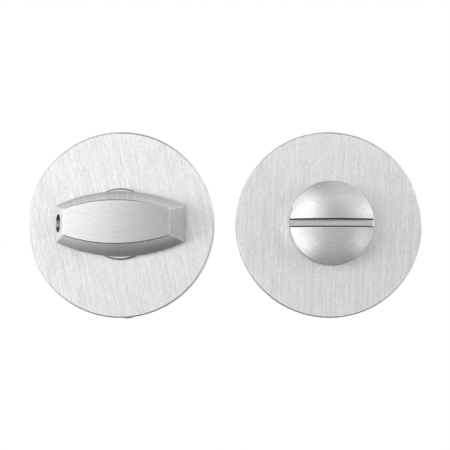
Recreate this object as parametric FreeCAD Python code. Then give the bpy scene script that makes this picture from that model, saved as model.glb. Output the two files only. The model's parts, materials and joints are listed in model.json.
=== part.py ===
# A bathroom thumb turn lock in its two halves, set side by side with their faces forward.
# The left half is the thumb turn with its spindle, and the right half is the emergency release.
# On a door they sit back to back, and the spindle and the two through bolts of the left half join them.
#
# Frame: +Z is up, +X runs from the turn to the release, and the faces look towards -Y.
# The door's face is the plane y = 0, and the origin is where the thumb turn's axis meets it.
# Each half is drawn in its own frame first: x to the right, y up, and heights along z away from the door.
import FreeCAD, Part
import math
import os

V = FreeCAD.Vector

# Rose covers, in millimetres as all sizes here
rose_dia = 52.0
rose_height = 8.0
sheet = 1.2
rose_edge_radius = 0.5
rose_gap = 6.0  # from one rose to the other
door_thickness = 44.0  # the door that the spindle and the through bolts are cut for

# Inner plates, cast, which the covers push over
cover_gap = 0.2
plate_floor = 2.5
plate_rim = 1.6
plate_bore_gap = 1.0  # the plate's middle hole stands this far outside the bush's flange
boss_radius = 4.8
lug_radius = 3.95
lug_length = 5.0
wood_screw_radius = 2.1
wood_screw_sink = 1.7  # how far the countersink stands outside the wood screw's hole
wood_screw_angles = (45, 135, 225, 315)
hole_gap = 0.25  # round a bolt's shank

# Cover screws, which go through the cover's wall into the inner plate
cover_screw_radius = 1.45
cover_screw_length = 4.0
cover_screw_drop = 4.0  # from the rose's face to the screw's axis
cover_screw_cup = 0.3
cover_screw_boss = 6.0  # width of its boss in the inner plate
cover_screw_boss_depth = 4.0
turn_screw_angle = 4.3  # the turn's rose is twisted this far, so its screw is off the bottom
release_screw_angle = 0.0
turn_screw_proud = 0.3
release_screw_proud = -0.2

# Neck, bush, washer and retaining ring, alike in both halves
neck_radius = 6.0
neck_land = 0.7  # what is left of the neck behind the ring's groove
neck_edge = 0.3
running_gap = 0.05  # between the neck and the bush
bush_wall = 0.95
bush_flange_radius = 11.0
bush_flange = 1.5
washer_thickness = 0.5
washer_width = 2.4
washer_gap = 0.15
ring_end_gap = 0.1  # from the washer to the retaining ring
ring_thickness = 1.0
ring_depth = 0.25  # the groove's depth
ring_section = 1.65
ring_offset = 0.35
ear_radius = 1.6
ear_eye_radius = 0.7
ear_spread = 2.3
ring_mouth = 1.0

# Thumb turn
collar_radius = 9.95
collar_height = 2.0
collar_edge = 0.4
collar_fit = 0.1
collar_wall = 1.0
knob_gap = 0.1
grip_height = 10.4
grip_foot_half_length = 17.9
grip_foot_end_half_width = 5.2
grip_foot_half_width = 9.3
grip_head_half_length = 14.0
grip_head_end_half_width = 3.55
grip_head_half_width = 5.9
grip_hollow = 0.28  # how far the four sides draw in at half height
grip_crown_radius = 110.0
grip_edge_radius = 0.5

# Spindle and the screw in the knob's end that holds it
spindle_width = 5.0
spindle_edge = 0.5
spindle_grip = 9.0  # how deep it enters the release
socket_gap = 0.05
socket_end_gap = 0.3
knob_screw_radius = 2.45
knob_screw_gap = 0.05
knob_screw_length = 12.0
knob_screw_height = 2.8  # above the grip's foot
knob_screw_cup = 0.7
spindle_past_screw = 0.6

# Emergency release
button_radius = 11.57
button_gap = 0.2
button_rim_height = 6.6
dome_rise = 2.3
button_bevel = 0.3  # round its rim
slot_width = 1.65  # between its walls
slot_lip = 0.38  # the bevel along each of its two lips
slot_below_rim = 0.6
release_socket_depth = 10.0

# Through bolts and the sleeves that take them
bolt_radius = 1.95
bolt_core_radius = 1.57  # of its thread, whose crest reaches the nominal 2 mm
bolt_thread_length = 28.0
bolt_head_radius = 3.75
bolt_head_height = 2.6
bolt_head_room = 0.9  # between a bolt's head and the cover
bolt_head_side_gap = 0.25
bolt_recess_width = 1.1
bolt_recess_length = 4.6
bolt_recess_depth = 1.4
thread_grip = 8.0
sleeve_radius = 3.0
sleeve_gap = 0.05
sleeve_length = 12.0
sleeve_head_height = 1.5
sleeve_bore_radius = 1.65
sleeve_bore_depth = 13.0
sleeve_slot_width = 1.2
sleeve_slot_depth = 0.7

# Shares that every headless screw and bolt keeps
screw_edge_share = 0.15  # of the radius, broken off the edge round the key socket
key_depth_share = 0.45  # of the length
bolt_point_share = 0.25  # of the radius
bolt_crown_share = 0.33  # of the head's height

# Sizes that follow
rose_radius = rose_dia / 2
centre_spacing = rose_dia + rose_gap
cover_inside = rose_height - sheet
cover_screw_height = rose_height - cover_screw_drop
cover_bore = rose_radius - sheet
plate_radius = cover_bore - cover_gap
rim_inside = plate_radius - plate_rim
plate_bore_radius = bush_flange_radius + plate_bore_gap
fixing_radius = rim_inside - bolt_head_radius - bolt_head_side_gap
bolt_seat = cover_inside - bolt_head_room - bolt_head_height
bolt_reach = door_thickness - sleeve_length + thread_grip
bush_bore_radius = neck_radius + running_gap
bush_radius = bush_bore_radius + bush_wall
bush_foot = cover_inside - bush_flange
washer_foot = bush_foot - washer_thickness
ring_foot = washer_foot - ring_end_gap - ring_thickness
groove_radius = neck_radius - ring_depth
neck_end = ring_foot - neck_land
collar_spigot_radius = bush_radius + collar_fit / 2 + collar_wall
collar_top = rose_height + collar_height
grip_foot = collar_top + knob_gap
grip_top = grip_foot + grip_height
knob_screw_axis = grip_foot + knob_screw_height
spindle_tip = knob_screw_axis + spindle_width / 2 + spindle_past_screw
spindle_reach = door_thickness + neck_end + spindle_grip
button_foot = rose_height + button_gap
button_rim = rose_height + button_rim_height
dome_radius = (button_radius**2 + dome_rise**2) / (2 * dome_rise)
dome_centre = button_rim + dome_rise - dome_radius
slot_floor = button_rim - slot_below_rim


def disc(radius, low, high, x=0.0, y=0.0):
    """A round solid along the outward axis, from one height to another."""
    return Part.makeCylinder(radius, high - low, V(x, y, low))


def block(half_x, half_y, low, high, x=0.0, y=0.0):
    """A square-cornered solid centred on x and y, from one height to another."""
    return Part.makeBox(2 * half_x, 2 * half_y, high - low, V(x - half_x, y - half_y, low))


def turned(profile):
    """What a closed outline of (radius, height) points sweeps when it is turned about the outward axis."""
    points = [V(radius, 0, height) for radius, height in profile]
    return Part.Face(Part.makePolygon(points + points[:1])).revolve(V(), V(0, 0, 1), 360)


def is_flat(edge, height):
    """Whether an edge lies wholly at one height."""
    return abs(edge.BoundBox.ZMin - height) < 1e-3 and abs(edge.BoundBox.ZMax - height) < 1e-3


def hexagon_pit(across_flats, low, high):
    """The solid of a six-sided key socket along the outward axis."""
    corner = across_flats / math.sqrt(3)
    turns = [math.radians(60 * step) for step in range(7)]
    outline = Part.makePolygon([V(corner * math.cos(a), corner * math.sin(a), low) for a in turns])
    return Part.Face(outline).extrude(V(0, 0, high - low))


def set_screw(radius, length, cup):
    """A headless screw from height 0 to its length, with its key socket at the top and a cup point below."""
    edge = screw_edge_share * radius
    body = turned(
        [
            (0, cup / 2),
            (radius - 2 * cup, cup / 2),
            (radius - cup, 0),
            (radius - cup / 2, 0),
            (radius, cup / 2),
            (radius, length - edge),
            (radius - edge, length),
            (0, length),
        ]
    )
    return body.cut(hexagon_pit(radius, length * (1 - key_depth_share), length + 1))


def upright_in_wall(shape, start, angle):
    """Lays a screw along the rose's radius at the cover screw's height, at an angle from straight down."""
    shape.translate(V(0, 0, start))
    shape.rotate(V(), V(1, 0, 0), 90)
    shape.translate(V(0, 0, cover_screw_height))
    shape.rotate(V(), V(0, 0, 1), angle)
    return shape


def rose_cover(hole_radius, screw_angle):
    """A round cover drawn from sheet, with its middle hole and the hole for its screw."""
    blank = disc(rose_radius, 0, rose_height)
    cover = blank.makeFillet(rose_edge_radius, [edge for edge in blank.Edges if is_flat(edge, rose_height)])
    cover = cover.cut(disc(cover_bore, -1, cover_inside))
    cover = cover.cut(disc(hole_radius, 0, rose_height + 1))
    screw_hole = disc(cover_screw_radius + hole_gap, 0, rose_radius)
    return cover.cut(upright_in_wall(screw_hole, cover_bore - sheet, screw_angle))


def cover_screw(angle, proud):
    """The small screw in the rose's rim, standing proud of it or sunk in it."""
    screw = set_screw(cover_screw_radius, cover_screw_length, cover_screw_cup)
    return upright_in_wall(screw, rose_radius + proud - cover_screw_length, angle)


def inner_plate(screw_angle, fixing_hole_radius):
    """The cast plate under a cover: a floor, a rim, bosses for the fixings and holes for wood screws."""
    plate = disc(plate_radius, 0, cover_inside)
    plate = plate.cut(disc(rim_inside, plate_floor, cover_inside + 1))
    boss_middle = rim_inside - cover_screw_boss_depth / 2 + plate_rim / 2
    boss_half = cover_screw_boss_depth / 2
    screw_boss = block(cover_screw_boss / 2, boss_half, 0, cover_inside, 0, -boss_middle)
    screw_boss.rotate(V(), V(0, 0, 1), screw_angle)
    plate = plate.fuse(screw_boss)
    for side in (-1, 1):
        plate = plate.fuse(disc(boss_radius, 0, bolt_seat, side * fixing_radius))
    plate = plate.common(disc(plate_radius, 0, cover_inside))
    plate = plate.cut(disc(plate_bore_radius, -1, cover_inside + 1))
    for side in (-1, 1):
        plate = plate.cut(disc(fixing_hole_radius, -1, bolt_seat + 1, side * fixing_radius))
        head_room = bolt_head_radius + bolt_head_side_gap
        plate = plate.cut(disc(head_room, bolt_seat, cover_inside + 1, side * fixing_radius))
    for angle in wood_screw_angles:
        plate = plate.cut(wood_screw_hole(math.radians(angle)))
    tapped = disc(cover_screw_radius + running_gap, 0, plate_radius)
    return plate.cut(upright_in_wall(tapped, rim_inside - cover_screw_boss_depth, screw_angle))


def wood_screw_hole(angle):
    """The solid of a countersunk hole halfway between the plate's middle hole and its rim."""
    middle = (plate_bore_radius + rim_inside) / 2
    x, y = middle * math.cos(angle), middle * math.sin(angle)
    sink_foot = plate_floor - wood_screw_sink
    top_radius = wood_screw_radius + wood_screw_sink
    sink = Part.makeCone(wood_screw_radius, top_radius, wood_screw_sink, V(x, y, sink_foot))
    above = disc(top_radius, plate_floor, cover_inside, x, y)
    return disc(wood_screw_radius, -1, sink_foot, x, y).fuse(sink).fuse(above)


def turn_plate():
    """The turn's inner plate, with a lug behind each bolt that locates it in the door."""
    shank_hole = bolt_radius + hole_gap
    plate = inner_plate(turn_screw_angle, shank_hole)
    for side in (-1, 1):
        lug = disc(lug_radius, -lug_length, 0, side * fixing_radius)
        plate = plate.fuse(lug.cut(disc(shank_hole, -lug_length - 1, 1, side * fixing_radius)))
    return plate.removeSplitter()


def release_plate():
    """The release's inner plate, which carries the two sleeves."""
    return inner_plate(release_screw_angle, sleeve_radius + sleeve_gap).removeSplitter()


def bush(top):
    """The plastic bearing: a flange behind the cover and a barrel round the neck."""
    return turned(
        [
            (bush_bore_radius, bush_foot),
            (bush_flange_radius, bush_foot),
            (bush_flange_radius, cover_inside),
            (bush_radius, cover_inside),
            (bush_radius, top),
            (bush_bore_radius, top),
        ]
    )


def thrust_washer():
    """The flat washer between the bush and the retaining ring."""
    bore = neck_radius + washer_gap
    washer = disc(bore + washer_width, washer_foot, bush_foot)
    return washer.cut(disc(bore, washer_foot - 1, bush_foot + 1))


def retaining_ring():
    """The open spring ring in the neck's groove, with an eyed ear each side of its mouth."""
    top = ring_foot + ring_thickness
    bore = groove_radius + running_gap
    hoop = disc(bore + ring_section, ring_foot, top, 0, ring_offset)
    ear_y = -(bore + ring_section)
    for side in (-1, 1):
        hoop = hoop.fuse(disc(ear_radius, ring_foot, top, side * ear_spread, ear_y))
    hoop = hoop.cut(disc(bore, ring_foot - 1, top + 1))
    for side in (-1, 1):
        hoop = hoop.cut(disc(ear_eye_radius, ring_foot - 1, top + 1, side * ear_spread, ear_y))
    mouth = block(ring_mouth, bore, ring_foot - 1, top + 1, 0, ear_y)
    return hoop.cut(mouth).removeSplitter()


def neck(top):
    """The round neck behind a knob, with the retaining ring's groove and a broken edge at its end."""
    ring_top = ring_foot + ring_thickness
    groove_foot = ring_foot - running_gap
    groove_top = ring_top + running_gap
    return turned(
        [
            (0, neck_end),
            (neck_radius - neck_edge, neck_end),
            (neck_radius, neck_end + neck_edge),
            (neck_radius, groove_foot),
            (groove_radius, groove_foot),
            (groove_radius, groove_top),
            (neck_radius, groove_top),
            (neck_radius, top),
            (0, top),
        ]
    )


def square_socket(low, high):
    """The solid of a spindle's socket."""
    half = spindle_width / 2 + socket_gap
    return block(half, half, low, high)


def collar():
    """The bright ring under the knob: a flange on the rose and a spigot in its hole."""
    bore = bush_radius + collar_fit / 2
    return turned(
        [
            (bore, cover_inside),
            (collar_spigot_radius, cover_inside),
            (collar_spigot_radius, rose_height),
            (collar_radius, rose_height),
            (collar_radius, collar_top - collar_edge),
            (collar_radius - collar_edge, collar_top),
            (bore, collar_top),
        ]
    )


def barrel_outline(half_length, end_half_width, half_width, height):
    """A closed outline with two straight ends and two sides that bow outwards between them."""
    top_left = V(-half_length, end_half_width, height)
    top_right = V(half_length, end_half_width, height)
    low_right = V(half_length, -end_half_width, height)
    low_left = V(-half_length, -end_half_width, height)
    upper = Part.Arc(top_left, V(0, half_width, height), top_right).toShape()
    lower = Part.Arc(low_right, V(0, -half_width, height), low_left).toShape()
    right = Part.makeLine(top_right, low_right)
    left = Part.makeLine(low_left, top_left)
    return Part.Wire([upper, right, lower, left])


def grip():
    """The knob's bar: four sloping, slightly hollow sides, under a crown that falls to both ends."""
    foot = (grip_foot_half_length, grip_foot_end_half_width, grip_foot_half_width)
    head = (grip_head_half_length, grip_head_end_half_width, grip_head_half_width)
    waist = [(wide + narrow) / 2 - grip_hollow for wide, narrow in zip(foot, head)]
    outlines = [
        barrel_outline(*foot, grip_foot),
        barrel_outline(*waist, grip_foot + grip_height / 2),
        barrel_outline(*head, grip_top),
    ]
    body = Part.makeLoft(outlines, True)
    crown_length = 4 * grip_foot_half_width
    crown_start = V(0, -crown_length / 2, grip_top - grip_crown_radius)
    crown = Part.makeCylinder(grip_crown_radius, crown_length, crown_start, V(0, 1, 0))
    body = body.common(crown)
    return body.makeFillet(grip_edge_radius, body.Edges)


def turn_knob():
    """The thumb turn in one piece: grip, neck, square socket and the screw's hole in the left end."""
    knob = grip().fuse(neck(grip_foot + knob_gap))
    knob = knob.cut(square_socket(neck_end - 1, spindle_tip + socket_end_gap))
    hole_start = V(-grip_foot_half_length - 1, 0, knob_screw_axis)
    hole_length = grip_foot_half_length + 1 - spindle_width / 2
    hole_radius = knob_screw_radius + knob_screw_gap
    screw_hole = Part.makeCylinder(hole_radius, hole_length, hole_start, V(1, 0, 0))
    return knob.cut(screw_hole).removeSplitter()


def knob_set_screw():
    """The screw in the knob's left end, pressed on the spindle's flat."""
    screw = set_screw(knob_screw_radius, knob_screw_length, knob_screw_cup)
    screw.rotate(V(), V(0, 1, 0), -90)
    screw.translate(V(-spindle_width / 2, 0, knob_screw_axis))
    return screw


def spindle():
    """The square bar through the door, with its ends bevelled."""
    half = spindle_width / 2
    bar = block(half, half, -spindle_reach, spindle_tip)
    ends = [edge for edge in bar.Edges if edge.BoundBox.ZLength < 1e-6]
    return bar.makeChamfer(spindle_edge, ends)


def through_bolt(side):
    """A pan-headed bolt with a cross recess, seated on the turn's inner plate."""
    top = bolt_seat + bolt_head_height
    crown = bolt_crown_share * bolt_head_height
    head = turned(
        [
            (0, bolt_seat),
            (bolt_head_radius, bolt_seat),
            (bolt_head_radius, top - crown),
            (bolt_head_radius - crown, top),
            (0, top),
        ]
    )
    tip = bolt_point_share * bolt_core_radius
    thread_top = bolt_thread_length - bolt_reach
    shank = disc(bolt_radius, thread_top, bolt_seat)
    core = disc(bolt_core_radius, -bolt_reach + tip, thread_top)
    point = Part.makeCone(bolt_core_radius - tip, bolt_core_radius, tip, V(0, 0, -bolt_reach))
    bolt = head.fuse(shank).fuse(core).fuse(point)
    recess_foot = top - bolt_recess_depth
    along = block(bolt_recess_length / 2, bolt_recess_width / 2, recess_foot, top + 1)
    across = block(bolt_recess_width / 2, bolt_recess_length / 2, recess_foot, top + 1)
    bolt = bolt.cut(along.fuse(across)).removeSplitter()
    bolt.translate(V(side * fixing_radius, 0, 0))
    return bolt


def release_sleeve(side):
    """A tapped sleeve that takes a through bolt, with a slotted flange inside the plate."""
    top = bolt_seat + sleeve_head_height
    head = disc(bolt_head_radius, bolt_seat, top)
    sleeve = head.fuse(disc(sleeve_radius, -sleeve_length, bolt_seat))
    sleeve = sleeve.cut(disc(sleeve_bore_radius, -sleeve_length - 1, sleeve_bore_depth - sleeve_length))
    slot = block(bolt_head_radius, sleeve_slot_width / 2, top - sleeve_slot_depth, top + 1)
    sleeve = sleeve.cut(slot).removeSplitter()
    sleeve.translate(V(side * fixing_radius, 0, 0))
    return sleeve


def release_button():
    """The round release in one piece: a domed head with a coin slot, a neck and the spindle's socket."""
    head = disc(button_radius, button_foot, button_rim + dome_rise + 1)
    head = head.common(Part.makeSphere(dome_radius, V(0, 0, dome_centre)))
    head = head.cut(block(button_radius + 1, slot_width / 2, slot_floor, button_rim + dome_rise + 1))
    lips = [edge for edge in head.Edges if edge.BoundBox.ZMax > button_rim + 1e-3]
    head = head.makeChamfer(slot_lip, lips)
    rims = [edge for edge in head.Edges if is_flat(edge, button_rim)]
    ends = [edge for edge in head.Edges if is_flat(edge, slot_floor) and edge.Length < button_radius]
    button = head.makeChamfer(button_bevel, rims + ends).fuse(neck(button_foot))
    button = button.cut(square_socket(neck_end - 1, neck_end + release_socket_depth))
    return button.removeSplitter()


def placed(shape, across):
    """Stands a shape of one half against the door and moves it along to that half's place."""
    shape.rotate(V(), V(1, 0, 0), 90)
    shape.translate(V(across, 0, 0))
    return shape


turn_half = {
    "turn_knob": turn_knob(),
    "knob_set_screw": knob_set_screw(),
    "turn_collar": collar(),
    "turn_cover": rose_cover(collar_spigot_radius + collar_fit, turn_screw_angle),
    "turn_cover_screw": cover_screw(turn_screw_angle, turn_screw_proud),
    "turn_bush": bush(collar_top - collar_edge),
    "turn_thrust_washer": thrust_washer(),
    "turn_retaining_ring": retaining_ring(),
    "turn_inner_plate": turn_plate(),
    "spindle": spindle(),
    "through_bolt_left": through_bolt(-1),
    "through_bolt_right": through_bolt(1),
}
release_half = {
    "release_button": release_button(),
    "release_cover": rose_cover(bush_radius + collar_fit, release_screw_angle),
    "release_cover_screw": cover_screw(release_screw_angle, release_screw_proud),
    "release_bush": bush(rose_height),
    "release_thrust_washer": thrust_washer(),
    "release_retaining_ring": retaining_ring(),
    "release_inner_plate": release_plate(),
    "release_sleeve_left": release_sleeve(-1),
    "release_sleeve_right": release_sleeve(1),
}

os.makedirs("parts", exist_ok=True)
for half, across in ((turn_half, 0.0), (release_half, centre_spacing)):
    for name, shape in half.items():
        placed(shape, across).exportStep(f"parts/{name}.step")
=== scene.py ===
"""Dresses the bathroom thumb turn lock: brushed roses and knobs, cast and plated works, threads on its bolts,
and a plain studio.

Shiny surfaces reflect a tent of soft lamps, which lights nothing else."""
import json
import math

import bpy
import numpy as np
from bpy.props import FloatProperty, FloatVectorProperty, PointerProperty
from bpy.types import Operator, Panel, PropertyGroup
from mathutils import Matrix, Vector


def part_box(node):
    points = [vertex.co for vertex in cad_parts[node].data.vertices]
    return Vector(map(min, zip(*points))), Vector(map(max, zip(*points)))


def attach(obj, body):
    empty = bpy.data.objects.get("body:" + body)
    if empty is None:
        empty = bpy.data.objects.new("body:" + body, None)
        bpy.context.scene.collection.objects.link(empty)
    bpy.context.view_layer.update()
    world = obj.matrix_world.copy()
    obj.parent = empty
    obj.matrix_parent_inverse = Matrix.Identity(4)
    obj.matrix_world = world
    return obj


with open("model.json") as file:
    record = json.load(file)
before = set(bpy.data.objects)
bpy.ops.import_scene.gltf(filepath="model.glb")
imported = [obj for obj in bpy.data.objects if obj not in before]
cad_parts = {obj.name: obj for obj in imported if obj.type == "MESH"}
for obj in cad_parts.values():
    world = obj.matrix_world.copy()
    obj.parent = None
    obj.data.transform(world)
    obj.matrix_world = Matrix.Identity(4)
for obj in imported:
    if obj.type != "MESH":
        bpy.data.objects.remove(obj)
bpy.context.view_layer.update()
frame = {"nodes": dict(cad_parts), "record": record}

bl_info = {
    "name": "Bathroom thumb turn lock",
    "version": (1, 0, 0),
    "blender": (4, 5, 0),
    "location": "3D View > Sidebar > Lock",
    "description": "Finishes both halves of a bathroom lock and sets them in a plain studio",
    "category": "Object",
}

MM = 0.001
NODES = frame["nodes"]
MOUNTS = {mount["name"]: mount for mount in frame["record"]["mounts"]}


def axis_of(node):
    """Where a round node's axis, which runs along Y, crosses the door's face."""
    low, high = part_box(node)
    return Vector(((low[0] + high[0]) / 2, 0.0, (low[2] + high[2]) / 2))


TURN_AXIS = axis_of("turn_bush")
RELEASE_AXIS = axis_of("release_bush")
ROSE_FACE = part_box("turn_cover")[0][1]
BUTTON_RADIUS = (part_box("release_button")[1][0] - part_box("release_button")[0][0]) / 2
RIM_BEVEL = 0.32 * MM
SLOT_FLOOR = MOUNTS["coin_slot"]["pos_m"][1]
SLOT_FLOOR_TOLERANCE = 0.05 * MM
SLOT_HALF_WIDTH = 1.3 * MM    # a little more than half its width over the lips
SCREW_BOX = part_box("knob_set_screw")
SCREW_MIDDLE = (Vector(SCREW_BOX[0]) + Vector(SCREW_BOX[1])) / 2
SCREW_HOLE_RADIUS = (SCREW_BOX[1][2] - SCREW_BOX[0][2]) / 2 + 0.08 * MM


class FinishSettings(PropertyGroup):
    """Colours and grain of the lock's finishes."""

    rose_colour: FloatVectorProperty(
        name="Rose colour", description="Brushed steel of the two roses", subtype="COLOR", size=3,
        min=0.0, max=1.0, default=(0.88, 0.876, 0.868),
    )
    knob_colour: FloatVectorProperty(
        name="Knob colour", description="Brushed steel of the knob, its collar and the button",
        subtype="COLOR", size=3, min=0.0, max=1.0, default=(0.76, 0.756, 0.749),
    )
    rose_line: FloatProperty(
        name="Rose line", description="Width of a brush line on the roses", unit="LENGTH",
        default=0.22 * MM, min=0.01 * MM, precision=5,
    )
    knob_line: FloatProperty(
        name="Knob line", description="Width of a brush line on the knob and the button", unit="LENGTH",
        default=0.3 * MM, min=0.01 * MM, precision=5,
    )
    line_stretch: FloatProperty(
        name="Line stretch", description="How many times longer than wide a brush line is",
        default=34.0, min=1.0,
    )
    turn_rose_tilt: FloatProperty(
        name="Turn rose tilt", description="How far the turn's rose is brushed off upright",
        subtype="ANGLE", default=math.radians(-11.5),
    )
    release_rose_tilt: FloatProperty(
        name="Release rose tilt", description="How far the release's rose is brushed off upright",
        subtype="ANGLE", default=math.radians(2.5),
    )


class ThreadSettings(PropertyGroup):
    """Sizes of the through bolts' threads."""

    root_radius: FloatProperty(
        name="Thread root", description="Radius at the bottom of the thread", unit="LENGTH",
        default=MOUNTS["through_bolts"]["dims"]["stud_r_mm"] * MM, precision=5,
    )
    crest_radius: FloatProperty(
        name="Thread crest", description="Radius at the top of the thread", unit="LENGTH",
        default=1.96 * MM, precision=5,
    )
    pitch: FloatProperty(
        name="Thread pitch", description="From one turn of the thread to the next", unit="LENGTH",
        default=0.7 * MM, precision=5,
    )
    length: FloatProperty(
        name="Thread length", description="Threaded length at the end of a bolt", unit="LENGTH",
        default=28 * MM, precision=4,
    )


class StudioSettings(PropertyGroup):
    """Camera and light of the studio."""

    camera_distance: FloatProperty(
        name="Camera distance", description="From the lens to the roses' faces", unit="LENGTH",
        default=260 * MM,
    )
    camera_drop: FloatProperty(
        name="Camera drop", description="How far the lens is below the knobs' axes", unit="LENGTH",
        default=16 * MM,
    )
    aim_drop: FloatProperty(
        name="Aim drop", description="How far below the knobs' axes the lens aims", unit="LENGTH",
        default=0.17 * MM, precision=5,
    )
    frame_width: FloatProperty(
        name="Frame width", description="Width of the picture at the roses' faces", unit="LENGTH",
        default=125.45 * MM,
    )
    floor_drop: FloatProperty(
        name="Floor drop", description="How far the floor is below the knobs' axes", unit="LENGTH",
        default=150 * MM,
    )
    lamp_power: FloatProperty(
        name="Lamp power", description="Power of each lamp", unit="POWER", default=5.0, min=0.0,
    )


class Nodes:
    """A node tree under construction, with short calls that add nodes and join them."""

    def __init__(self, tree):
        self.tree = tree

    def add(self, kind, **settings):
        """A new node of one kind, with its settings."""
        node = self.tree.nodes.new(kind)
        for name, value in settings.items():
            setattr(node, name, value)
        return node

    def feed(self, value, socket):
        """Joins an output to an input, or sets the input to a plain value."""
        if isinstance(value, bpy.types.NodeSocket):
            self.tree.links.new(value, socket)
        else:
            socket.default_value = value

    def use(self, kind, output, inputs, **settings):
        """Adds a node, feeds its inputs and returns one of its outputs."""
        node = self.add(kind, **settings)
        for socket, value in inputs.items():
            self.feed(value, node.inputs[socket])
        return node.outputs[output]

    def math(self, operation, *values):
        """A Math node's result for one or two values."""
        return self.use("ShaderNodeMath", 0, dict(enumerate(values)), operation=operation)

    def vector(self, operation, *values):
        """A Vector Math node's result for one or two vectors."""
        output = "Value" if operation in {"DOT_PRODUCT", "LENGTH"} else "Vector"
        return self.use("ShaderNodeVectorMath", output, dict(enumerate(values)), operation=operation)

    def parts(self, vector):
        """The X, Y and Z of a vector."""
        node = self.add("ShaderNodeSeparateXYZ")
        self.feed(vector, node.inputs[0])
        return node.outputs

    def joined(self, x, y, z):
        """A vector from its X, Y and Z."""
        return self.use("ShaderNodeCombineXYZ", 0, {0: x, 1: y, 2: z})

    def between(self, value, low, high, start=0.0, stop=1.0):
        """A value from low to high, as another goes from start to stop."""
        limits = {"From Min": start, "From Max": stop, "To Min": low, "To Max": high}
        return self.use("ShaderNodeMapRange", 0, {"Value": value, **limits})

    def mixed(self, factor, one, other):
        """A number between two, by a factor."""
        return self.use("ShaderNodeMix", 0, {0: factor, 2: one, 3: other})

    def mixed_vector(self, factor, one, other):
        """A vector between two, by a factor."""
        return self.use("ShaderNodeMix", 1, {0: factor, 4: one, 5: other}, data_type="VECTOR")

    def mixed_colour(self, factor, one, other):
        """A colour between two, by a factor."""
        return self.use("ShaderNodeMix", 2, {0: factor, 6: one, 7: other}, data_type="RGBA")

    def noise(self, position, scale, detail):
        """Noise from 0 to 1 at a position."""
        inputs = {"Vector": position, "Scale": scale, "Detail": detail, "Roughness": 0.6}
        return self.use("ShaderNodeTexNoise", 0, inputs)

    def group(self, group, inputs):
        """The outputs of a node group fed with inputs."""
        node = self.add("ShaderNodeGroup", node_tree=group)
        for socket, value in inputs.items():
            self.feed(value, node.inputs[socket])
        return node.outputs


class Finish(Nodes):
    """A material under construction: one surface shader, whose plain values are set by name."""

    def __init__(self, name, **values):
        self.material = bpy.data.materials.new(name)
        self.material.use_nodes = True
        super().__init__(self.material.node_tree)
        self.tree.nodes.clear()
        self.shader = self.add("ShaderNodeBsdfPrincipled")
        for socket, value in values.items():
            self.shader.inputs[socket].default_value = value
        self.feed(self.shader.outputs[0], self.add("ShaderNodeOutputMaterial").inputs["Surface"])
        coordinates = self.add("ShaderNodeTexCoord")
        self.place = coordinates.outputs["Object"]
        self.normal = coordinates.outputs["Normal"]

    def cover(self, colour, roughness, height, depth):
        """Gives the shader its colour, its roughness and a relief of one depth."""
        self.feed(colour, self.shader.inputs["Base Color"])
        self.feed(roughness, self.shader.inputs["Roughness"])
        bump = self.use("ShaderNodeBump", 0, {"Height": height, "Distance": depth, "Strength": 1.0})
        self.feed(bump, self.shader.inputs["Normal"])
        return self.material


def shade(colour, scale):
    """A colour with alpha 1, made darker or lighter and kept under 1."""
    return tuple(min(1.0, part * scale) for part in colour[:3]) + (1.0,)


def effect(name, inputs, outputs):
    """A new, empty node group with named sockets, as (its tree, its inputs, its outputs)."""
    tree = bpy.data.node_groups.new(name, "ShaderNodeTree")
    for socket, kind in inputs.items():
        tree.interface.new_socket(socket, in_out="INPUT", socket_type=f"NodeSocket{kind}")
    for socket in outputs:
        tree.interface.new_socket(socket, in_out="OUTPUT", socket_type="NodeSocketFloat")
    return tree, tree.nodes.new("NodeGroupInput").outputs, tree.nodes.new("NodeGroupOutput").inputs


def brush_lines():
    """Brush lines along Z: long single lines, short nicks and broad bands, each from 0 to 1. Each is noise read
    at places squeezed along the lines."""
    name = "Brush lines"
    if name in bpy.data.node_groups:
        return bpy.data.node_groups[name]
    inputs = {"Position": "Vector", "Width": "Float", "Stretch": "Float"}
    tree, start, end = effect(name, inputs, ("Lines", "Nicks", "Bands"))
    nodes = Nodes(tree)
    per_metre = nodes.math("DIVIDE", 1.0, start["Width"])
    for output, length, narrowness in (("Lines", 1.0, 1.0), ("Nicks", 0.12, 1.0), ("Bands", 1.0, 0.2)):
        stretch = nodes.math("MULTIPLY", start["Stretch"], length)
        squeezed = nodes.joined(1.0, 1.0, nodes.math("DIVIDE", 1.0, stretch))
        spaced = nodes.vector("MULTIPLY", start["Position"], squeezed)
        nodes.feed(nodes.noise(spaced, nodes.math("MULTIPLY", per_metre, narrowness), 1.0), end[output])
    return tree


def mottling():
    """Soft mottling and the fine grain under it, each from 0 to 1."""
    name = "Mottling"
    if name in bpy.data.node_groups:
        return bpy.data.node_groups[name]
    tree, start, end = effect(name, {"Position": "Vector", "Per metre": "Float"}, ("Mottle", "Grain"))
    nodes = Nodes(tree)
    nodes.feed(nodes.noise(start["Position"], start["Per metre"], 4.0), end["Mottle"])
    fine = nodes.math("MULTIPLY", start["Per metre"], 7.0)
    nodes.feed(nodes.noise(start["Position"], fine, 2.0), end["Grain"])
    return tree


def straight_lines(finish, place, tilt):
    """Straight brush lines, tilted from upright: where to read them, and the way that they run."""
    position = finish.use(
        "ShaderNodeVectorRotate", 0, {"Vector": place, "Angle": -tilt}, rotation_type="Y_AXIS"
    )
    return position, (math.sin(tilt), 0.0, math.cos(tilt))


def from_axis(finish, place):
    """How far a place is from an axis along Y."""
    return finish.vector("LENGTH", finish.vector("MULTIPLY", place, (1.0, 0.0, 1.0)))


def turned_lines(finish, place):
    """Lines turned round an axis along Y: where to read them, and the way that they run."""
    way = finish.vector("NORMALIZE", finish.vector("CROSS_PRODUCT", place, (0.0, 1.0, 0.0)))
    return finish.joined(from_axis(finish, place), finish.parts(place)["Y"], 0.0), way


def either(finish, choice, one, other):
    """One kind of brush lines where the choice is 0, and the other where it is 1."""
    return tuple(finish.mixed_vector(choice, first, second) for first, second in zip(one, other))


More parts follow.
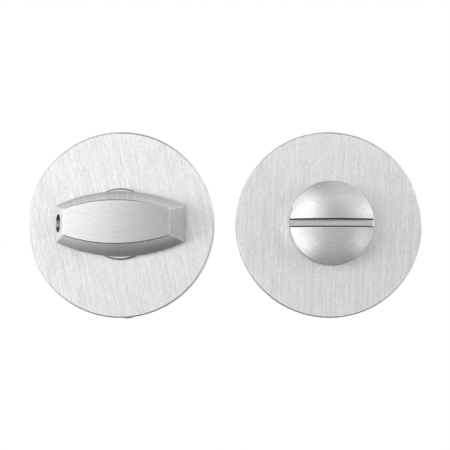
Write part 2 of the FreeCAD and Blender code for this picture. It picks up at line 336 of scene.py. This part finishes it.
def faces_along(finish, axis, least):
    """1 where the surface faces along an axis, either way, by more than the least part of its normal."""
    return finish.math("GREATER_THAN", finish.math("ABSOLUTE", finish.parts(finish.normal)[axis]), least)


NICK_SHARE = 0.42
BAND_SHARE = 0.25
TONE_RANGE = (0.35, 0.65)     # of the mixed noise, which seldom leaves it
LINE_RANGE = (0.2, 0.8)       # of the noise of the long lines
ROUGHNESS_SWING = 0.04
# how dark the painted shade in recesses is, as a share of the colour
PAINTED_SHADE_SCALE = 0.35
LINE_DEPTH = 0.006            # of a line's width


def brushed(finish, lines, colour, roughness, width, contrast, painted_shade=0.0):
    """Brushes a finish. The shine spreads across the lines, so the shader's tangent is square to them. Where
    painted shade is asked for, the colour is darkened to stand in for the shade in a recess."""
    position, way = lines
    stretch = bpy.context.scene.lock_finish.line_stretch
    out = finish.group(brush_lines(), {"Position": position, "Width": width, "Stretch": stretch})
    tone = finish.mixed(BAND_SHARE, out["Lines"], out["Bands"])
    tone = finish.mixed(NICK_SHARE, tone, out["Nicks"])
    even = finish.between(tone, 0.0, 1.0, *TONE_RANGE)
    across = finish.vector("CROSS_PRODUCT", finish.normal, way)
    spread = finish.use(
        "ShaderNodeVectorTransform", 0, {0: across},
        vector_type="VECTOR", convert_from="OBJECT", convert_to="WORLD",
    )
    finish.feed(spread, finish.shader.inputs["Tangent"])
    shades = finish.mixed_colour(even, shade(colour, 1 - contrast), shade(colour, 1 + contrast))
    # painted shade: the colour is darkened where shade falls in a recess
    shades = finish.mixed_colour(painted_shade, shades, shade(colour, PAINTED_SHADE_SCALE))
    gloss = finish.between(
        out["Lines"], roughness + ROUGHNESS_SWING, roughness - ROUGHNESS_SWING, *LINE_RANGE
    )
    return finish.cover(shades, gloss, out["Lines"], width * LINE_DEPTH)


def rose_steel(name, axis, tilt):
    """Brushed steel of a rose: straight tilted lines on its face, and turned lines on its wall."""
    settings = bpy.context.scene.lock_finish
    finish = Finish(name, Metallic=1.0, Anisotropic=0.85)
    place = finish.vector("SUBTRACT", finish.place, tuple(axis))
    is_face = faces_along(finish, "Y", 0.5)
    lines = either(finish, is_face, turned_lines(finish, place), straight_lines(finish, place, tilt))
    return brushed(
        finish, lines, settings.rose_colour, roughness=0.42, width=settings.rose_line, contrast=0.14
    )


def knob_steel():
    """Brushed steel of the thumb turn: lines along it, and upright ones on its two ends. The hole for the set
    screw has painted shade: its colour is darkened as the hole's shade."""
    settings = bpy.context.scene.lock_finish
    finish = Finish("Knob steel", Metallic=1.0, Anisotropic=0.7)
    along = straight_lines(finish, finish.place, math.radians(90))
    upright = straight_lines(finish, finish.place, 0.0)
    lines = either(finish, faces_along(finish, "X", 0.65), along, upright)
    # painted shade in the set screw's hole: the bore's colour is darkened
    from_screw = finish.vector("SUBTRACT", finish.place, tuple(SCREW_MIDDLE))
    aside = finish.vector("LENGTH", finish.vector("MULTIPLY", from_screw, (0.0, 1.0, 1.0)))
    is_near = finish.math("LESS_THAN", aside, SCREW_HOLE_RADIUS)
    is_outside = finish.math("LESS_THAN", finish.parts(from_screw)["X"], 0.0)
    return brushed(
        finish, lines, settings.knob_colour, roughness=0.22, width=settings.knob_line, contrast=0.06,
        painted_shade=finish.math("MULTIPLY", is_near, is_outside),
    )


def collar_steel():
    """Turned steel of the collar: lines round its axis on every face."""
    settings = bpy.context.scene.lock_finish
    finish = Finish("Collar steel", Metallic=1.0, Anisotropic=0.6)
    lines = turned_lines(finish, finish.vector("SUBTRACT", finish.place, tuple(TURN_AXIS)))
    return brushed(
        finish, lines, settings.knob_colour, roughness=0.26, width=settings.knob_line, contrast=0.04
    )


def button_steel():
    """Brushed steel of the release button: lines along its slot, turned lines on its round wall, and upright
    ones on the slot's floor. The slot's lips and walls have painted shade: their colour is darkened as the
    slot's shade."""
    settings = bpy.context.scene.lock_finish
    finish = Finish("Button steel", Metallic=1.0, Anisotropic=0.75)
    place = finish.vector("SUBTRACT", finish.place, tuple(RELEASE_AXIS))
    is_rim = finish.math("GREATER_THAN", from_axis(finish, place), BUTTON_RADIUS - RIM_BEVEL)
    depth = finish.parts(finish.place)["Y"]
    is_level = finish.math("COMPARE", depth, SLOT_FLOOR, SLOT_FLOOR_TOLERANCE)
    is_floor = finish.math("MULTIPLY", is_level, faces_along(finish, "Y", 0.9))
    along = straight_lines(finish, place, math.radians(90))
    lines = either(finish, is_floor, along, straight_lines(finish, place, 0.0))
    lines = either(finish, is_rim, lines, turned_lines(finish, place))
    # painted shade on the slot's lips and walls: their colour is darkened
    off_middle = finish.math("ABSOLUTE", finish.parts(place)["Z"])
    in_slot = finish.math("LESS_THAN", off_middle, SLOT_HALF_WIDTH)
    return brushed(
        finish, lines, settings.knob_colour, roughness=0.25, width=settings.knob_line, contrast=0.04,
        painted_shade=finish.math("MULTIPLY", in_slot, faces_along(finish, "Z", 0.5)),
    )


def drawn_steel(name, colour, roughness):
    """Plated drawn steel of bars and bolts: faint lines along Y, and upright ones on their ends."""
    finish = Finish(name, Metallic=1.0, Anisotropic=0.4)
    x, y, z = finish.parts(finish.place)
    drawn = (finish.joined(x, z, y), (0.0, 1.0, 0.0))
    upright = straight_lines(finish, finish.place, 0.0)
    lines = either(finish, faces_along(finish, "Y", 0.9), drawn, upright)
    return brushed(finish, lines, colour, roughness, width=0.15 * MM, contrast=0.05)


MOTTLE_RANGE = (0.3, 0.7)     # of the noise, which seldom leaves it
MOTTLE_SWING = 0.07


def mottled(name, colour, metallic, roughness, per_metre, contrast, depth):
    """A cast, plated or moulded finish: soft mottling in its colour and shine over a fine grain."""
    finish = Finish(name, Metallic=metallic)
    out = finish.group(mottling(), {"Position": finish.place, "Per metre": per_metre})
    even = finish.between(out["Mottle"], 0.0, 1.0, *MOTTLE_RANGE)
    shades = finish.mixed_colour(even, shade(colour, 1 - contrast), shade(colour, 1 + contrast))
    gloss = finish.between(even, roughness + MOTTLE_SWING, roughness - MOTTLE_SWING)
    return finish.cover(shades, gloss, out["Grain"], depth)


def dress(node, material):
    """Puts one material on the whole of a CAD node."""
    mesh = NODES[node].data
    if not mesh.materials:
        mesh.materials.append(material)
    for index in range(len(mesh.materials)):
        mesh.materials[index] = material


def surface(name, points, material, wraps=False, uv=None):
    """An object from a grid of points in rows. Where it wraps, the last column joins the first, and the first
    and last rows, which lie on the axis, become one point each, so that the surface is closed."""
    rows, columns = points.shape[:2]
    index = np.arange(rows * columns).reshape(rows, columns)
    if wraps:
        index = np.concatenate([index, index[:, :1]], axis=1)
        index[0] = index[0, 0]
        index[-1] = index[-1, 0]
    corners = [index[:-1, :-1], index[:-1, 1:], index[1:, 1:], index[1:, :-1]]
    faces = np.stack(corners, axis=-1).reshape(-1, 4)
    if wraps:
        kept, faces = np.unique(faces, return_inverse=True)
        points = points.reshape(-1, 3)[kept]
        faces = [list(dict.fromkeys(face)) for face in faces.reshape(-1, 4).tolist()]
    mesh = bpy.data.meshes.new(name)
    mesh.from_pydata(points.reshape(-1, 3).tolist(), [], faces if wraps else faces.tolist())
    if uv is not None:
        layer = mesh.uv_layers.new(name="UVMap")
        layer.data.foreach_set("uv", uv.reshape(-1, 2)[faces.reshape(-1)].astype(np.float32).ravel())
    mesh.materials.append(material)
    mesh.shade_smooth()
    piece = bpy.data.objects.new(name, mesh)
    bpy.context.scene.collection.objects.link(piece)
    return piece


THREAD_ROWS_PER_TURN = 8
THREAD_COLUMNS = 32
THREAD_TIP_INSET = 0.05 * MM
THREAD_OVER_CORE = 1.01       # the root lies just outside the bolt's core
RIDGE_PEAK = 1.25             # before it is cut off flat at 1
RIDGE_SLOPE = 3.0             # per pitch


def thread_points(sizes, bolt):
    """A bolt's thread: at each place along the bolt and angle round it, the radius is the root plus a ridge
    with sloping sides and a flat top, which moves on by one pitch in each turn. The ridge fades in over the
    first turn and out over the last, and both ends close on the axis."""
    axis = axis_of(bolt)
    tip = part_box(bolt)[1][1] - THREAD_TIP_INSET
    rows = 1 + THREAD_ROWS_PER_TURN * round(sizes.length / sizes.pitch)
    along = np.linspace(0.0, sizes.length, rows)
    along = np.concatenate([along[:1], along, along[-1:]])
    angle = np.linspace(0.0, 2 * math.pi, THREAD_COLUMNS, endpoint=False)
    along, angle = np.meshgrid(along, angle, indexing="ij")
    phase = (along / sizes.pitch - angle / (2 * math.pi)) % 1.0
    ridge = np.clip(RIDGE_PEAK - RIDGE_SLOPE * np.abs(phase - 0.5), 0.0, 1.0)
    fade = np.clip(np.minimum(along, sizes.length - along) / sizes.pitch, 0.0, 1.0)
    height = (sizes.crest_radius - sizes.root_radius) * ridge * fade
    radius = sizes.root_radius * THREAD_OVER_CORE + height
    radius[0] = 0.0
    radius[-1] = 0.0
    y = tip - sizes.length + along
    return np.stack([axis.x + radius * np.cos(angle), y, axis.z - radius * np.sin(angle)], axis=-1)


class LOCK_OT_roses(Operator):
    """Brushes the two roses, each tilted its own way"""

    bl_idname = "lock.roses"
    bl_label = "Finish the roses"

    def execute(self, context):
        settings = context.scene.lock_finish
        dress("turn_cover", rose_steel("Turn rose steel", TURN_AXIS, settings.turn_rose_tilt))
        dress("release_cover", rose_steel("Release rose steel", RELEASE_AXIS, settings.release_rose_tilt))
        return {"FINISHED"}


class LOCK_OT_knobs(Operator):
    """Brushes the thumb turn, its collar and the release button"""

    bl_idname = "lock.knobs"
    bl_label = "Finish the knobs"

    def execute(self, context):
        dress("turn_knob", knob_steel())
        dress("turn_collar", collar_steel())
        dress("release_button", button_steel())
        return {"FINISHED"}


class LOCK_OT_works(Operator):
    """Finishes the cast plates, the bushes, washers and retaining rings, the spindle and the fixings"""

    bl_idname = "lock.works"
    bl_label = "Finish the works"

    def execute(self, context):
        cast = mottled(
            "Cast zinc", (0.46, 0.465, 0.475), metallic=0.9, roughness=0.46,
            per_metre=320, contrast=0.1, depth=0.02 * MM,
        )
        plated = mottled(
            "Zinc plate", (0.66, 0.67, 0.68), metallic=1.0, roughness=0.27,
            per_metre=500, contrast=0.05, depth=0.004 * MM,
        )
        blackened = mottled(
            "Blackened spring steel", (0.06, 0.06, 0.065), metallic=0.8, roughness=0.4,
            per_metre=600, contrast=0.2, depth=0.006 * MM,
        )
        nylon = mottled(
            "Natural nylon", (0.82, 0.8, 0.74), metallic=0.0, roughness=0.42,
            per_metre=300, contrast=0.02, depth=0.004 * MM,
        )
        drawn = drawn_steel("Plated bar", (0.7, 0.705, 0.71), roughness=0.27)
        for half in ("turn", "release"):
            dress(f"{half}_inner_plate", cast)
            dress(f"{half}_bush", nylon)
            dress(f"{half}_thrust_washer", plated)
            dress(f"{half}_retaining_ring", blackened)
            dress(f"{half}_cover_screw", plated)
        for node in ("spindle", "through_bolt_left", "through_bolt_right"):
            dress(node, drawn)
        for node in ("release_sleeve_left", "release_sleeve_right"):
            dress(node, plated)
        dress("knob_set_screw", blackened)
        return {"FINISHED"}


class LOCK_OT_threads(Operator):
    """Puts the threads on the two through bolts"""

    bl_idname = "lock.threads"
    bl_label = "Add the bolt threads"

    def execute(self, context):
        rolled = mottled(
            "Rolled thread", (0.66, 0.67, 0.68), metallic=1.0, roughness=0.3,
            per_metre=500, contrast=0.06, depth=0.003 * MM,
        )
        for side in ("left", "right"):
            points = thread_points(context.scene.lock_threads, f"through_bolt_{side}")
            thread = surface(f"bolt_thread_{side}", points, rolled, wraps=True)
            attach(thread, "root")
        return {"FINISHED"}


TENT_RADIUS = 1.0
TENT_COLUMNS = 121
TENT_ROWS = 61
# The tent's soft lamps: angle round from the front, angle up, how wide and how high in degrees, and strength.
TENT_LAMPS = {
    "left of the camera": (-49, -4, 17, 14, 2.5),
    "left, high": (-22, 20, 20, 18, 1.6),
    "left, low": (-25, -21, 16, 11, 1.5),
    "under the camera": (10, -14, 34, 35, 0.57),
    "right, low": (45, -15, 15, 12, 0.9),
    "right, high": (57, 15, 27, 8, 1.6),
    "above the camera": (28, 31, 35, 9, 0.75),
    "overhead": (25, 60, 35, 18, 0.8),
    "right side": (115, 10, 35, 35, 1.5),
    "left side": (-105, 5, 30, 40, 1.4),
    "behind, high": (180, 44, 90, 32, 1.1),
    "behind, low": (180, -35, 70, 45, 0.85),
}
TENT_BASE = 0.03
FLOOR_MIDDLE = 1 * MM
FLOOR_RADIUS = 400 * MM
FLOOR_COLOUR = (0.85, 0.85, 0.85, 1.0)
LAMP_SIZE = 0.6
# The lamps for what isn't shiny: where each stands from the roses' middle, and its share of the power.
LAMPS = {
    "left_lamp": ((-0.7, -0.7, 0.35), 1.0),
    "right_lamp": ((0.7, -0.7, 0.35), 0.8),
    "top_lamp": ((0.0, 0.1, 0.9), 0.9),
}
FILL_STRENGTH = 0.5


def tent_light():
    """The light that the tent shows to shiny surfaces: soft lamps over a faint base. A lamp's light falls off
    by the bell curve of the angles from its middle, each over the lamp's own width or height."""
    material = bpy.data.materials.new("Tent light")
    material.use_nodes = True
    nodes = Nodes(material.node_tree)
    nodes.tree.nodes.clear()
    place = nodes.parts(nodes.add("ShaderNodeTexCoord").outputs["UV"])
    around = nodes.between(place["X"], -180, 180)
    up = nodes.between(place["Y"], -90, 90)
    strength = TENT_BASE
    for middle_around, middle_up, wide, high, peak in TENT_LAMPS.values():
        aside = nodes.math("WRAP", nodes.math("SUBTRACT", around, middle_around), 180, -180)
        above = nodes.math("SUBTRACT", up, middle_up)
        away = nodes.joined(nodes.math("DIVIDE", aside, wide), nodes.math("DIVIDE", above, high), 0.0)
        fall = nodes.math("EXPONENT", nodes.math("MULTIPLY", nodes.vector("DOT_PRODUCT", away, away), -1.0))
        strength = nodes.math("ADD", strength, nodes.math("MULTIPLY", fall, peak))
    light = nodes.use("ShaderNodeEmission", 0, {"Strength": strength})
    nodes.feed(light, nodes.add("ShaderNodeOutputMaterial").inputs["Surface"])
    return material


class LOCK_OT_studio(Operator):
    """Adds the camera, the light tent, the floor, the lamps and the world"""

    bl_idname = "lock.studio"
    bl_label = "Set up the studio"

    def execute(self, context):
        studio = context.scene.lock_studio
        middle = Vector(((TURN_AXIS.x + RELEASE_AXIS.x) / 2, ROSE_FACE, TURN_AXIS.z))
        self.add_camera(studio, middle)
        self.add_tent(middle)
        self.add_floor(studio, middle)
        self.add_lamps(studio, middle)
        self.add_world()
        context.scene.view_settings.view_transform = "Standard"
        return {"FINISHED"}

    def add_camera(self, studio, middle):
        """The camera stands before the gap between the roses, a little below them, and aims at their middle."""
        camera = bpy.data.objects.new("Camera", bpy.data.cameras.new("Camera"))
        bpy.context.scene.collection.objects.link(camera)
        camera.location = middle + Vector((0, -studio.camera_distance, -studio.camera_drop))
        sight = middle - Vector((0, 0, studio.aim_drop)) - camera.location
        camera.rotation_euler = sight.to_track_quat("-Z", "Y").to_euler()
        camera.data.angle = 2 * math.atan(studio.frame_width / 2 / sight.length)
        camera.data.clip_start = MM
        bpy.context.scene.camera = camera

    def add_tent(self, middle):
        """A round tent of light about the lock, which only shiny surfaces see: its points lie on a sphere."""
        across, up = np.meshgrid(np.linspace(0, 1, TENT_COLUMNS), np.linspace(0, 1, TENT_ROWS))
        azimuth = np.radians(360 * across - 180)
        elevation = np.radians(180 * up - 90)
        level = np.cos(elevation)
        way = [np.sin(azimuth) * level, -np.cos(azimuth) * level, np.sin(elevation)]
        points = np.array(middle) + TENT_RADIUS * np.stack(way, axis=-1)
        tent = surface("light_tent", points, tent_light(), uv=np.stack([across, up], axis=-1))
        tent.visible_camera = False
        tent.visible_diffuse = False
        tent.visible_shadow = False
        tent.visible_transmission = False

    def add_floor(self, studio, middle):
        """A round pale floor below the lock: rings of points from its middle outwards."""
        finish = Finish("Pale floor", Roughness=0.9)
        finish.shader.inputs["Base Color"].default_value = FLOOR_COLOUR
        rings = np.linspace(FLOOR_MIDDLE, FLOOR_RADIUS, 12)
        ring, angle = np.meshgrid(rings, np.linspace(0, 2 * math.pi, 65), indexing="ij")
        drop = np.full_like(ring, -studio.floor_drop)
        points = np.array(middle) + np.stack([ring * np.cos(angle), ring * np.sin(angle), drop], axis=-1)
        floor = surface("floor", points, finish.material)
        floor.visible_glossy = False

    def add_lamps(self, studio, middle):
        """Three large soft lamps, left and right of the camera and above, which light what isn't shiny."""
        for name, (place, share) in LAMPS.items():
            light = bpy.data.lights.new(name, "AREA")
            light.shape = "SQUARE"
            light.size = LAMP_SIZE
            light.energy = studio.lamp_power * share
            lamp = bpy.data.objects.new(name, light)
            bpy.context.scene.collection.objects.link(lamp)
            lamp.location = middle + Vector(place)
            lamp.rotation_euler = (-Vector(place)).to_track_quat("-Z", "Y").to_euler()
            lamp.visible_glossy = False

    def add_world(self):
        """White to the camera and to reflections, and a dimmer fill light for everything else."""
        world = bpy.data.worlds.new("Studio")
        bpy.context.scene.world = world
        world.use_nodes = True
        nodes = Nodes(world.node_tree)
        nodes.tree.nodes.clear()
        path = nodes.add("ShaderNodeLightPath").outputs
        seen = nodes.math("MAXIMUM", path["Is Camera Ray"], path["Is Glossy Ray"])
        seen = nodes.math("MAXIMUM", seen, path["Is Transmission Ray"])
        strength = nodes.mixed(seen, FILL_STRENGTH, 1.0)
        light = nodes.use("ShaderNodeBackground", 0, {"Color": (1.0, 1.0, 1.0, 1.0), "Strength": strength})
        nodes.feed(light, nodes.add("ShaderNodeOutputWorld").inputs["Surface"])


class LOCK_PT_panel(Panel):
    """Lists the lock's sizes, finishes and steps"""

    bl_idname = "LOCK_PT_panel"
    bl_label = "Bathroom lock"
    bl_space_type = "VIEW_3D"
    bl_region_type = "UI"
    bl_category = "Lock"

    def draw(self, context):
        scene = context.scene
        for settings in (scene.lock_finish, scene.lock_threads, scene.lock_studio):
            for name in settings.__annotations__:
                self.layout.prop(settings, name)
        for operator in OPERATORS:
            self.layout.operator(operator.bl_idname)


SETTINGS = (FinishSettings, ThreadSettings, StudioSettings)
OPERATORS = (LOCK_OT_roses, LOCK_OT_knobs, LOCK_OT_works, LOCK_OT_threads, LOCK_OT_studio)
CLASSES = (*SETTINGS, *OPERATORS, LOCK_PT_panel)


def register():
    """Registers the classes and puts the settings on the scene."""
    for item in CLASSES:
        bpy.utils.register_class(item)
    bpy.types.Scene.lock_finish = PointerProperty(type=FinishSettings)
    bpy.types.Scene.lock_threads = PointerProperty(type=ThreadSettings)
    bpy.types.Scene.lock_studio = PointerProperty(type=StudioSettings)


def unregister():
    """Takes the settings off the scene and the classes out again."""
    del bpy.types.Scene.lock_studio
    del bpy.types.Scene.lock_threads
    del bpy.types.Scene.lock_finish
    for item in reversed(CLASSES):
        bpy.utils.unregister_class(item)


def main():
    """Registers the add-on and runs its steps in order."""
    register()
    bpy.ops.lock.roses()
    bpy.ops.lock.knobs()
    bpy.ops.lock.works()
    bpy.ops.lock.threads()
    bpy.ops.lock.studio()


if __name__ == "__main__":
    main()
